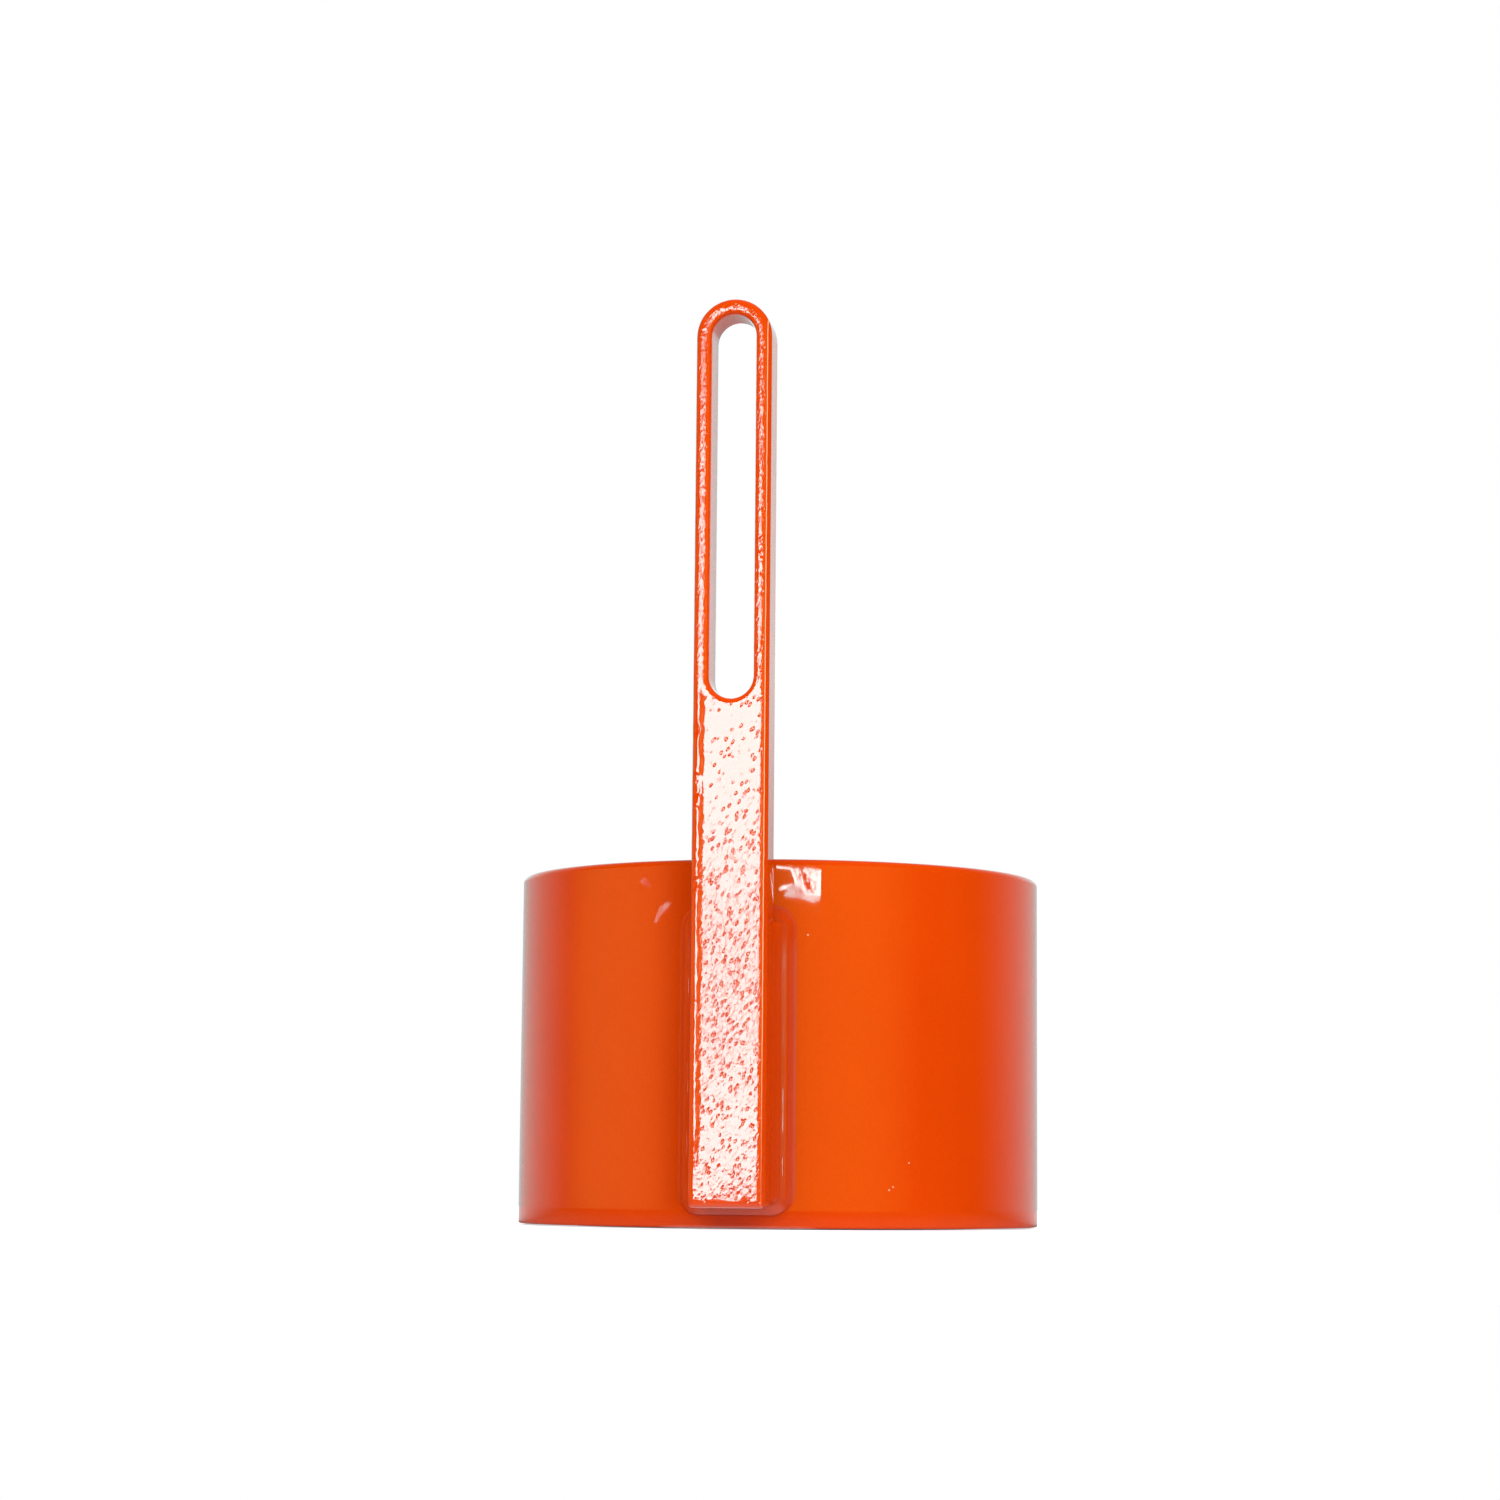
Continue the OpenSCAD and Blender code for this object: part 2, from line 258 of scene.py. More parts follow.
def bar_height(g, co):
    """Relief of the bar's face: pitted hot-rolled steel under thick paint, and the paint's fat edge."""
    sep = g.new("ShaderNodeSeparateXYZ")
    g.link(co, sep.inputs[0])
    x, y, z = sep.outputs
    front = g.range(y, BAR_FRONT + 0.0004, BAR_FRONT + 0.0018, 1.0, 0.0)
    # how coarse the skin is, from bottom to top
    low = g.range(z, 0.012, 0.070, 0.45, 1.0)
    high = g.math("MAXIMUM", g.range(z, 0.095, 0.165, 1.0, 0.42), g.range(z, 0.169, 0.178, 0.0, 0.95))
    amp = g.math("MULTIPLY", low, high)
    mid = g.range(g.math("ABSOLUTE", g.math("SUBTRACT", z, 0.080)), 0.015, 0.060, 1.0, 0.0)
    # rolled-in texture, a little longer one way than the other
    rot = g.new("ShaderNodeMapping")
    g.link(co, rot.inputs["Vector"])
    rot.inputs["Rotation"].default_value = (0.0, math.radians(-30.0), 0.0)
    sca = g.new("ShaderNodeMapping")
    g.link(rot.outputs[0], sca.inputs["Vector"])
    sca.inputs["Scale"].default_value = (1.35, 1.0, 0.68)
    v = sca.outputs[0]
    wob = g.noise(v, 620.0, 2.5, 0.55, 0.3)
    grain = g.noise(v, 1500.0, 1.0, 0.5)
    broad = g.noise(co, 150.0, 1.0, 0.5)
    vor = g.new("ShaderNodeTexVoronoi", feature="F1")
    g.link(v, vor.inputs["Vector"])
    vor.inputs["Scale"].default_value = 640.0
    vor.inputs["Randomness"].default_value = 1.0
    cs = g.new("ShaderNodeSeparateColor")
    g.link(vor.outputs["Color"], cs.inputs[0])
    dist = g.math("ADD", vor.outputs["Distance"], g.math("MULTIPLY", g.math("SUBTRACT", wob, 0.5), 0.35))
    pit = g.range(dist, 0.10, 0.46, 1.0, 0.0)
    # a share of the cells holds a pit, more of them along the right and in the middle
    share = g.math("ADD", g.math("MULTIPLY", amp, 0.92), g.range(x, -0.012, 0.012, -0.12, 0.22, "LINEAR"))
    has = g.math("LESS_THAN", cs.outputs[0], share)
    deep = g.math("MULTIPLY", g.math("MULTIPLY", pit, has), g.range(cs.outputs[1], 0.0, 1.0, -0.00004, -0.000105, "LINEAR"))
    h = g.math("MULTIPLY", g.math("SUBTRACT", wob, 0.5), g.math("MULTIPLY", amp, 0.000165))
    h = g.math("ADD", h, g.math("MULTIPLY", grain, g.math("MAXIMUM", g.math("MULTIPLY", mid, 0.000062), g.range(z, 0.169, 0.180, 0.0, 0.000045))))
    h = g.math("ADD", h, g.math("MULTIPLY", broad, 0.00009))
    h = g.math("ADD", h, deep)
    # fat edge: the paint stands up 1.5 mm in from every edge
    ax = g.math("ABSOLUTE", x)
    top = g.math("MAXIMUM", g.math("SUBTRACT", z, BAR_Z1 - BAR_W / 2), 0.0)
    r_out = g.math("SQRT", g.math("ADD", g.math("MULTIPLY", ax, ax), g.math("MULTIPLY", top, top)))
    d_out = g.math("MINIMUM", g.math("SUBTRACT", BAR_W / 2, r_out), 1.0)
    dz = g.math("MAXIMUM", g.math("SUBTRACT", g.math("ABSOLUTE", g.math("SUBTRACT", z, SLOT_Z)), SLOT_HALF), 0.0)
    d_in = g.math("SUBTRACT", g.math("SQRT", g.math("ADD", g.math("MULTIPLY", ax, ax), g.math("MULTIPLY", dz, dz))), SLOT_R - 0.0006)
    jag = g.math("MULTIPLY", g.math("SUBTRACT", g.noise(co, 330.0, 2.5, 0.6), 0.5), 0.0019)
    edge = g.range(g.math("ADD", d_out, jag), 0.0043, 0.0021, 0.0, 1.0)
    edge_in = g.range(d_in, 0.0018, 0.0010, 0.0, 1.0)
    weak = g.math("MULTIPLY", g.range(g.noise(co, 80.0, 2.0, 0.5), 0.36, 0.50, 0.12, 1.0), g.range(z, 0.018, 0.034, 0.15, 1.0))
    # the slotted part is too narrow for it to build up
    weak = g.math("MULTIPLY", weak, g.range(z, 0.166, 0.176, 1.0, 0.10))
    weak = g.math("MULTIPLY", weak, g.range(x, 0.002, 0.007, 1.0, 0.10))
    h = g.math("MULTIPLY", h, g.math("SUBTRACT", 1.0, g.math("MULTIPLY", edge, g.math("MULTIPLY", weak, 0.85))))
    h = g.math("ADD", h, g.math("MULTIPLY", g.math("MULTIPLY", edge, weak), 0.00046))
    h = g.math("ADD", h, g.math("MULTIPLY", edge_in, 0.00002))
    # on the right the coat rolls off early, with a ragged border
    roll = g.math("MAXIMUM", g.math("SUBTRACT", g.math("ADD", x, g.math("MULTIPLY", jag, 0.55)), BAR_W / 2 - 0.0030), 0.0)
    h = g.math("SUBTRACT", h, g.math("MULTIPLY", g.math("MULTIPLY", roll, roll), 75.0))
    return g.math("MULTIPLY", h, front)


def steel(name, tone=0.42, turned=True):
    m, g, bsdf, co = material(name)
    sep = g.new("ShaderNodeSeparateXYZ")
    g.link(co, sep.inputs[0])
    r = g.math("SQRT", g.math("ADD", g.math("MULTIPLY", sep.outputs[0], sep.outputs[0]), g.math("MULTIPLY", sep.outputs[1], sep.outputs[1])))
    vec = g.new("ShaderNodeCombineXYZ")
    g.link(r, vec.inputs[0])
    g.link(sep.outputs[2], vec.inputs[1])
    lines = g.noise(vec.outputs[0], 2400.0, 2.0, 0.6)
    scale = g.noise(co, 40.0, 5.0, 0.62)
    col = g.mix(g.range(scale, 0.35, 0.65), (tone, tone, tone * 1.02), (tone * 0.55, tone * 0.53, tone * 0.52))
    g.link(col, bsdf.inputs["Base Color"])
    bsdf.inputs["Metallic"].default_value = 1.0
    g.link(g.range(scale, 0.3, 0.7, 0.28, 0.5), bsdf.inputs["Roughness"])
    bump = g.new("ShaderNodeBump")
    bump.inputs["Distance"].default_value = 1.0
    g.link(g.math("MULTIPLY", lines if turned else scale, 0.000012), bump.inputs["Height"])
    g.link(bump.outputs[0], bsdf.inputs["Normal"])
    return m


def rubber(name, tone=0.028, rough=0.72):
    m, g, bsdf, co = material(name)
    grain = g.noise(co, 900.0, 3.0, 0.6)
    dust = g.range(g.noise(co, 22.0, 5.0, 0.6), 0.45, 0.75)
    col = g.mix(g.math("MULTIPLY", dust, 0.35), (tone, tone, tone * 1.04), (tone * 3.0, tone * 2.9, tone * 2.7))
    g.link(col, bsdf.inputs["Base Color"])
    g.link(g.range(grain, 0.3, 0.7, rough - 0.1, rough + 0.1), bsdf.inputs["Roughness"])
    bump = g.new("ShaderNodeBump")
    bump.inputs["Distance"].default_value = 1.0
    g.link(g.math("MULTIPLY", grain, 0.00004), bump.inputs["Height"])
    g.link(bump.outputs[0], bsdf.inputs["Normal"])
    return m


M_DRUM = paint("paint_drum", peel=0.0000001, peel_scale=230.0, rough=0.014, nibs=True)
M_BAR = paint("paint_bar", peel=0.000002, peel_scale=420.0, rough=0.03, bar=True)
# deep=0.87 sets the weld paint 13 % darker, as painted shade
M_WELD = paint("paint_weld", peel=0.000004, peel_scale=300.0, rough=0.125, flank=0.42, deep=0.87)
M_STEEL = steel("ballast_steel")
M_ZINC = steel("zinc_steel", tone=0.66)
M_PAD = rubber("pad_rubber")
M_PACK = rubber("packing_sheet", tone=0.07, rough=0.85)


# ---------------------------------------------------------------- mesh helpers
def piece(name, verts, faces, mat, smooth=True, node=None, slot=None):
    me = bpy.data.meshes.new(name)
    me.from_pydata([tuple(map(float, v)) for v in verts], [], faces)
    me.validate(clean_customdata=False)
    o = bpy.data.objects.new(name, me)
    scene.collection.objects.link(o)
    bm = bmesh.new()
    bm.from_mesh(me)
    bmesh.ops.recalc_face_normals(bm, faces=bm.faces)
    bm.to_mesh(me)
    bm.free()
    me.materials.append(mat)
    for p in me.polygons:
        p.use_smooth = smooth
    if node:
        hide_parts(*([node] if isinstance(node, str) else node))
    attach(o, "root")
    return o


def arc(cx, cy, r, a0, a1, n):
    """Points of an arc, in degrees, both ends included."""
    return [(cx + r * math.cos(math.radians(a0 + (a1 - a0) * i / n)),
             cy + r * math.sin(math.radians(a0 + (a1 - a0) * i / n))) for i in range(n + 1)]


def split(p, q, n):
    """Points between p and q, both left out."""
    return [(p[0] + (q[0] - p[0]) * i / n, p[1] + (q[1] - p[1]) * i / n) for i in range(1, n)]


def lathe(name, prof, mat, seg=360, move=None, **kw):
    """Closed ring from a closed profile of (r, z)."""
    m = len(prof)
    verts, faces = [], []
    for i in range(seg):
        a = 2 * math.pi * i / seg
        for (r, z) in prof:
            v = (r * math.sin(a), -r * math.cos(a), z)
            verts.append(move(v) if move else v)
    for i in range(seg):
        for j in range(m):
            a, b = i * m + j, i * m + (j + 1) % m
            c, d = ((i + 1) % seg) * m + (j + 1) % m, ((i + 1) % seg) * m + j
            faces.append((a, b, c, d))
    return piece(name, verts, faces, mat, **kw)


def smoothstep(a, b, x):
    t = min(1.0, max(0.0, (x - a) / (b - a)))
    return t * t * (3 - 2 * t)


# ---------------------------------------------------------------- drum wall
RIM, FOOT = 0.0020, 0.0008


def drum_move(v):
    """Rolled tube: out of true by a few microns."""
    x, y, z = v
    r = math.hypot(x, y)
    if r < R - 0.0045:
        return v
    u = math.atan2(x, -y) * R
    k = (r + 0.000003 * (noise.noise(Vector((u * 26, z * 12, 3.1))) - 1.0)) / r
    return (x * k, y * k, z)


prof = []
prof += [(BORE, SEAT_Z)]
prof += split((BORE, SEAT_Z), (BORE, H - 0.001), 12)
prof += arc(BORE + 0.001, H - 0.001, 0.001, 180, 90, 4)
prof += split((BORE + 0.001, H), (R - RIM, H), 6)
prof += arc(R - RIM, H - RIM, RIM, 90, 0, 10)
prof += [(R, H - RIM - 0.00004), (R, H - RIM - 0.0003)] + split((R, H - RIM - 0.0003), (R, Z0 + FOOT + 0.0003), 64) + [(R, Z0 + FOOT + 0.0003), (R, Z0 + FOOT + 0.00004)]
prof += arc(R - FOOT, Z0 + FOOT, FOOT, 0, -90, 6)
prof += split((R - FOOT, Z0), (SEAT + 0.0004, Z0), 2)
prof += arc(SEAT + 0.0004, Z0 + 0.0004, 0.0004, -90, -180, 2)
prof += split((SEAT, Z0 + 0.0004), (SEAT, SEAT_Z), 3)
prof += [(SEAT, SEAT_Z)]
shell = lathe("drum_wall", prof, M_DRUM, seg=420, move=drum_move, node="body_shell", slot="drum_paint")

# ---------------------------------------------------------------- top plate and its seam
tp = [(0.0001, PLATE_TOP - 0.003)]
tp += [(0.0001, PLATE_TOP)] + split((0.0001, PLATE_TOP), (BORE - 0.0001, PLATE_TOP), 30)
tp += [(BORE - 0.0001, PLATE_TOP), (BORE - 0.0001, t_lo[2]), (0.0001, t_lo[2])]


def disc(name, r, z0, z1, mat, rings=26, seg=180, move=None, **kw):
    """Solid disc with a ringed top and bottom, closed at the centre."""
    verts, faces = [], []
    top_c, bot_c = 0, 1
    verts += [(0, 0, z1), (0, 0, z0)]
    edge = min(0.0003, (z1 - z0) / 4)
    radii = [r * (i + 1) / rings for i in range(rings)]
    rows = [(q, z1) for q in radii[:-1]] + [(r - edge, z1), (r, z1 - edge), (r, z0 + edge), (r - edge, z0)] + [(q, z0) for q in reversed(radii[:-1])]
    m = len(rows)
    for i in range(seg):
        a = 2 * math.pi * i / seg
        for (q, z) in rows:
            verts.append((q * math.sin(a), -q * math.cos(a), z))
    for i in range(seg):
        k, l = 2 + i * m, 2 + ((i + 1) % seg) * m
        faces.append((top_c, k, l))
        faces.append((bot_c, l + m - 1, k + m - 1))
        for j in range(m - 1):
            faces.append((k + j, k + j + 1, l + j + 1, l + j))
    if move:
        verts = [move(v) for v in verts]
    return piece(name, verts, faces, mat, **kw)


def plate_move(v):
    x, y, z = v
    if z < PLATE_TOP - 0.0001:
        return v
    return (x, y, z - 0.00012 + 0.00012 * noise.noise(Vector((x * 18, y * 18, 0.7))))


plate = disc("top_plate_painted", BORE - 0.0001, t_lo[2], PLATE_TOP, M_DRUM, move=plate_move, node="top_plate", slot="drum_paint")


def seam_bead():
    """Fillet bead round the top plate, laid as overlapping ripples."""
    leg, seg, m = (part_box("top_seam_weld")[1][2] - PLATE_TOP), 960, 9
    verts, faces = [], []
    for i in range(seg):
        a = 2 * math.pi * i / seg
        s = a * BORE
        rip = 0.5 + 0.5 * math.cos(2 * math.pi * s / 0.0042 + 1.3 * noise.noise(Vector((s * 60, 0, 0))))
        w = leg * (0.90 + 0.05 * noise.noise(Vector((math.cos(a) * 9, math.sin(a) * 9, 2.0))) + 0.045 * rip)
        ring = [(BORE + 0.0004, PLATE_TOP - 0.0004), (BORE + 0.0004, PLATE_TOP + w)]
        for k in range(m):
            t = math.pi / 2 * (k + 0.5) / m
            ring.append((BORE - w * math.cos(t) ** 0.9 * 0.98, PLATE_TOP + w * math.sin(t) ** 0.9 * 0.98))
        ring = [ring[0], ring[1]] + list(reversed(ring[2:])) + [(BORE - w, PLATE_TOP - 0.0004)]
        for (r, z) in ring:
            verts.append((r * math.sin(a), -r * math.cos(a), z))
    n = m + 3
    for i in range(seg):
        for j in range(n):
            faces.append((i * n + j, i * n + (j + 1) % n, ((i + 1) % seg) * n + (j + 1) % n, ((i + 1) % seg) * n + j))
    return piece("top_seam_bead", verts, faces, M_WELD, node="top_seam_weld", slot="weld_paint")


seam_bead()


# ---------------------------------------------------------------- saddle plate, wrapped on the drum
def outline(w, h, r, n=10, step=0.0016):
    """Rounded rectangle as (u, z, outward u, outward z), evenly split."""
    pts = []
    for q in range(4):
        cx = (w / 2 - r) * (1 if q in (0, 3) else -1)
        cz = (h / 2 - r) * (1 if q < 2 else -1)
        for i in range(n + 1):
            a = math.radians(90 * q + 90 * i / n)
            pts.append((cx + r * math.cos(a), cz + r * math.sin(a), math.cos(a), math.sin(a)))
    out = []
    for i, p in enumerate(pts):
        q = pts[(i + 1) % len(pts)]
        d = math.hypot(q[0] - p[0], q[1] - p[1])
        k = max(1, math.ceil(d / step))
        for j in range(k):
            t = j / k
            out.append(tuple(p[c] + (q[c] - p[c]) * t for c in range(4)))
    return out


def wrapped(u, z, h):
    r = R + h
    a = u / R
    return (r * math.sin(a), -r * math.cos(a), z)


SAD_H = SAD_Z1 - SAD_Z0
SAD_ZC = (SAD_Z1 + SAD_Z0) / 2
SAD_T = SAD_R - R
SAD_U = R * math.asin(SAD_W / 2 / (R + SAD_T))
PATH = outline(2 * SAD_U, SAD_H, 0.005)


def saddle_skin():
    """Rolled plate: a grid over its outline, eased at the edge."""
    nu, nz = 44, 120
    verts, faces = [], []
    rc = 0.005

    def clampz(u):
        e = abs(u) - (SAD_U - rc)
        cut = rc - math.sqrt(max(0.0, rc * rc - e * e)) if e > 0 else 0.0
        return SAD_Z0 + cut, SAD_Z1 - cut

    for side in (1, 0):
        for i in range(nu + 1):
            # finer columns towards the edges
            t = i / nu * 2 - 1
            u = SAD_U * math.sin(t * math.pi / 2)
            lo, hi = clampz(u)
            for j in range(nz + 1):
                z = lo + (hi - lo) * j / nz
                edge = min(SAD_U - abs(u), z - lo, hi - z)
                h = SAD_T if side else -0.0004
                if side:
                    e = 0.0008
                    if edge < e:
                        h -= e - math.sqrt(max(0.0, e * e - (e - edge) ** 2))
                    h += 0.00003 * noise.noise(Vector((u * 150, z * 120, 1.0)))
                verts.append(wrapped(u, z, h))
    n = nz + 1
    off = (nu + 1) * n
    for i in range(nu):
        for j in range(nz):
            a, b, c, d = i * n + j, (i + 1) * n + j, (i + 1) * n + j + 1, i * n + j + 1
            faces.append((a, b, c, d))
            faces.append((off + a, off + d, off + c, off + b))
    for i in range(nu):
        a, b = i * n, (i + 1) * n
        faces.append((a, off + a, off + b, b))
        a, b = i * n + nz, (i + 1) * n + nz
        faces.append((a, b, off + b, off + a))
    for j in range(nz):
        a, b = j, j + 1
        faces.append((a, b, off + b, off + a))
        a, b = nu * n + j, nu * n + j + 1
        faces.append((a, off + a, off + b, b))
    return piece("saddle_painted", verts, faces, M_WELD, node="saddle_plate", slot="weld_paint")


saddle_skin()


BEAD = ((-0.0018, -0.0006), (-0.0017, 0.00290), (-0.0014, 0.00299), (-0.0011, 0.00301), (-0.0008, 0.00298), (-0.0005, 0.00291),
        (-0.0002, 0.00277), (0.0001, 0.00255), (0.00035, 0.00228), (0.0006, 0.00198), (0.0009, 0.00161), (0.0012, 0.00124),
        (0.0015, 0.00089), (0.0018, 0.00058), (0.0021, 0.00034), (0.0024, 0.00017), (0.0027, 0.00007), (0.0030, 0.00001), (0.0032, -0.0006))


BEAD_LOW = ((-0.0018, -0.0006), (-0.0017, 0.00290), (-0.0014, 0.00299), (-0.0011, 0.00300), (-0.0008, 0.00296), (-0.0005, 0.00289),
            (-0.0002, 0.00280), (0.0001, 0.00269), (0.00035, 0.00258), (0.0006, 0.00246), (0.0009, 0.00230), (0.0012, 0.00211),
            (0.0015, 0.00188), (0.00175, 0.00158), (0.00195, 0.00118), (0.0021, 0.00070), (0.0022, 0.00030), (0.0023, 0.00001), (0.0025, -0.0006))


def saddle_bead():
    """Bead round the saddle plate: rounded shoulder, flank and soft toe, dressed smooth."""
    verts, faces = [], []
    n = len(PATH)
    run = 0.0
    for i, (u, zz, du, dz) in enumerate(PATH):
        z = SAD_ZC + zz
        q = PATH[(i + 1) % n]
        run += math.hypot(q[0] - u, q[1] - zz)
        wob = noise.noise(Vector((u * 60, z * 60, 5.0)))
        rip = math.cos(2 * math.pi * run / 0.0052 + 1.1 * wob)
        low = max(0.0, -dz) ** 1.5
        for (s, h), (s2, h2) in zip(BEAD, BEAD_LOW):
            s, h = s + (s2 - s) * low, h + (h2 - h) * low
            k = max(0.0, s) / 0.003
            w = s * (1 - 0.03 * k + 0.03 * wob * k + 0.006 * rip * k)
            t = h + (0.00003 * wob + 0.000012 * rip) * (1 if 0.0002 < h < 0.0029 else 0)
            verts.append(wrapped(u + du * w, z + dz * w, t * SAD_T / 0.003))
    k = len(BEAD)
    for i in range(n):
        for j in range(k):
            faces.append((i * k + j, i * k + (j + 1) % k, ((i + 1) % n) * k + (j + 1) % k, ((i + 1) % n) * k + j))
    return piece("saddle_bead", verts, faces, M_WELD, node="saddle_weld", slot="weld_paint")


saddle_bead()


def bar_bead(name, node, side):
    """Bead down one side of the bar, on the saddle plate."""
    lo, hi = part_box(node)
    z0, z1 = lo[2], hi[2]
    leg = BAR_BACK - lo[1]
    xs = BAR_W / 2
    rows, m = 300, 8
    verts, faces = [], []
    for i in range(rows + 1):
        t = i / rows
        z = z0 + (z1 - z0) * t
        end = min(1.0, math.sqrt(min(t, 1 - t) * 60 + 0.02))
        rip = 0.5 + 0.5 * math.cos(2 * math.pi * (z / 0.0042) + 1.2 * noise.noise(Vector((z * 80, side, 0))))
        w = leg * end * (0.95 + 0.04 * noise.noise(Vector((z * 55, side * 3, 1))) + 0.010 * rip)

        def surf(x):
            return -math.sqrt(SAD_R ** 2 - x * x)

        ring = [(xs - 0.0012, BAR_BACK + 0.0016), (xs - 0.0012, BAR_BACK - w * 0.9), (xs - 0.0001, BAR_BACK - w)]
        for k in range(1, m + 1):
            a = math.pi / 2 * k / m
            # concave fillet from the bar's side to the plate
            x = xs + w * (1 - math.cos(a)) * 0.55 + w * math.sin(a) * 0.45 * (k / m)
            y = BAR_BACK - w * (1 - k / m) ** 1.35
            y = min(y, 0) * 1.0
            base = surf(x)
            y = y + (base - BAR_BACK) * (k / m)
            ring.append((x, y))
        ring.append((ring[-1][0], surf(ring[-1][0]) + 0.0012))
        for (x, y) in ring:
            verts.append((x * side, y, z))
    n = m + 4
    for i in range(rows):
        for j in range(n):
            faces.append((i * n + j, i * n + (j + 1) % n, (i + 1) * n + (j + 1) % n, (i + 1) * n + j))
    faces.append(tuple(range(n)))
    faces.append(tuple(rows * n + j for j in reversed(range(n))))
    return piece(name, verts, faces, M_WELD, node=node, slot="weld_paint")


bar_bead("bar_bead_left", "bar_left_weld", -1)
bar_bead("bar_bead_right", "bar_right_weld", 1)


# ---------------------------------------------------------------- the slotted bar
def bar_skin():
    """The CAD bar, remeshed finely, with the coarse skin of rolled steel under thick paint."""
    src = nodes["handle_bar"]
    me = src.data.copy()
    me.name = "bar_painted"
    o = bpy.data.objects.new("bar_painted", me)
    scene.collection.objects.link(o)
    bm = bmesh.new()
    bm.from_mesh(me)
    bmesh.ops.remove_doubles(bm, verts=bm.verts, dist=1e-6)
    bm.to_mesh(me)
    bm.free()
    mod = o.modifiers.new("remesh", "REMESH")
    mod.mode = "VOXEL"
    mod.voxel_size = 0.00052
    mod.use_smooth_shade = True
    dg = bpy.context.evaluated_depsgraph_get()
    ev = bpy.data.meshes.new_from_object(o.evaluated_get(dg))
    o.modifiers.clear()
    o.data = ev
    ev.name = "bar_painted"
    n = len(ev.vertices)
    co = np.empty(n * 3)
    ev.vertices.foreach_get("co", co)
    co = co.reshape(-1, 3)
    nr = np.empty(n * 3)
    ev.vertices.foreach_get("normal", nr)
    nr = nr.reshape(-1, 3)
    for i in range(n):
        p = Vector(co[i])
        a = noise.noise(p * 330.0)
        b = noise.noise(p * 160.0 + Vector((5, 2, 9)))
        amp = -0.000012 + 0.000012 * a + 0.000016 * b
        co[i] += nr[i] * min(amp, 0.0)
    co[:, 0] = np.clip(co[:, 0], b_lo[0], b_hi[0])
    co[:, 1] = np.clip(co[:, 1], b_lo[1], b_hi[1])
    co[:, 2] = np.clip(co[:, 2], b_lo[2], b_hi[2])
    ev.vertices.foreach_set("co", co.ravel())
    ev.update()
    ev.materials.clear()
    ev.materials.append(M_BAR)
    for p in ev.polygons:
        p.use_smooth = True
    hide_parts("handle_bar")
    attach(o, "root")
    return o


bar = bar_skin()

# ---------------------------------------------------------------- carried-over nodes
for name, mat in (("ballast_disc_1", M_STEEL), ("ballast_disc_2", M_STEEL), ("ballast_disc_3", M_STEEL), ("ballast_disc_4", M_STEEL),
                  ("trim_disc", M_STEEL), ("packing_sheet", M_PACK), ("base_plate", M_DRUM), ("base_screws", M_ZINC), ("base_pad", M_PAD)):
    o = nodes[name]
    if not o.material_slots:
        o.data.materials.append(mat)
    for s in o.material_slots:
        s.material = mat

# ---------------------------------------------------------------- floor: a round pale table top
bpy.ops.mesh.primitive_circle_add(vertices=128, radius=0.72, fill_type="NGON")
floor = bpy.context.active_object
floor.name = "floor"
fm = bpy.data.materials.new("floor")
fm.use_nodes = True
fm.node_tree.nodes.clear()
g = Nodes(fm.node_tree)
fo = g.new("ShaderNodeOutputMaterial")
fd = g.new("ShaderNodeBsdfDiffuse")
fd.inputs["Color"].default_value = (0.86, 0.86, 0.86, 1)
fe = g.new("ShaderNodeEmission")
fe.inputs["Color"].default_value = (1, 1, 1, 1)
fc = g.new("ShaderNodeTexCoord").outputs["Object"]
fl = g.new("ShaderNodeVectorMath", operation="LENGTH")
g.link(fc, fl.inputs[0])
g.link(g.range(fl.outputs["Value"], 0.10, 0.45, 0.62, 1.0), fe.inputs["Strength"])
fa = g.new("ShaderNodeAddShader")
lp = g.new("ShaderNodeLightPath")
fmix = g.new("ShaderNodeMixShader")
g.link(fd.outputs[0], fa.inputs[0])
g.link(fe.outputs[0], fa.inputs[1])
g.link(lp.outputs["Is Camera Ray"], fmix.inputs[0])
# in the gloss it is bright at the foot, and further off it fades into what is beyond it
nrm = g.new("ShaderNodeVectorMath", operation="NORMALIZE")
g.link(fc, nrm.inputs[0])
aft = g.new("ShaderNodeVectorMath", operation="DOT_PRODUCT")
g.link(nrm.outputs[0], aft.inputs[0])
aft.inputs[1].default_value = (-math.sin(CAM_AZ), math.cos(CAM_AZ), 0.0)
fglow = g.new("ShaderNodeEmission")
fx = g.new("ShaderNodeSeparateXYZ")
g.link(fc, fx.inputs[0])
near = g.math("MULTIPLY", g.range(fl.outputs["Value"], 0.106, 0.150, 1.3, 0.0), g.range(g.math("ABSOLUTE", fx.outputs[0]), 0.020, 0.030, 1.0, 0.0))
near = g.math("MULTIPLY", near, g.range(fx.outputs[1], -0.02, 0.0, 1.0, 0.0))
near = g.math("MAXIMUM", near, g.range(fl.outputs["Value"], 0.14, 0.70, 0.26, 0.02))
g.link(g.math("MAXIMUM", near, g.range(aft.outputs["Value"], 0.05, 0.90, 0.0, 0.78)), fglow.inputs["Strength"])
fsel = g.new("ShaderNodeMixShader")
g.link(lp.outputs["Is Glossy Ray"], fsel.inputs[0])
g.link(fd.outputs[0], fsel.inputs[1])
g.link(fglow.outputs[0], fsel.inputs[2])
g.link(fsel.outputs[0], fmix.inputs[1])
g.link(fa.outputs[0], fmix.inputs[2])
g.link(fmix.outputs[0], fo.inputs["Surface"])
floor.data.materials.append(fm)

# ---------------------------------------------------------------- light
AX = Vector((0, 0, H * 0.9))


def bearing(az):
    """Level direction at that azimuth from the camera's side of the object, in degrees, left negative."""
    a = CAM_AZ + math.radians(az)
    return Vector((math.sin(a), -math.cos(a), 0.0))


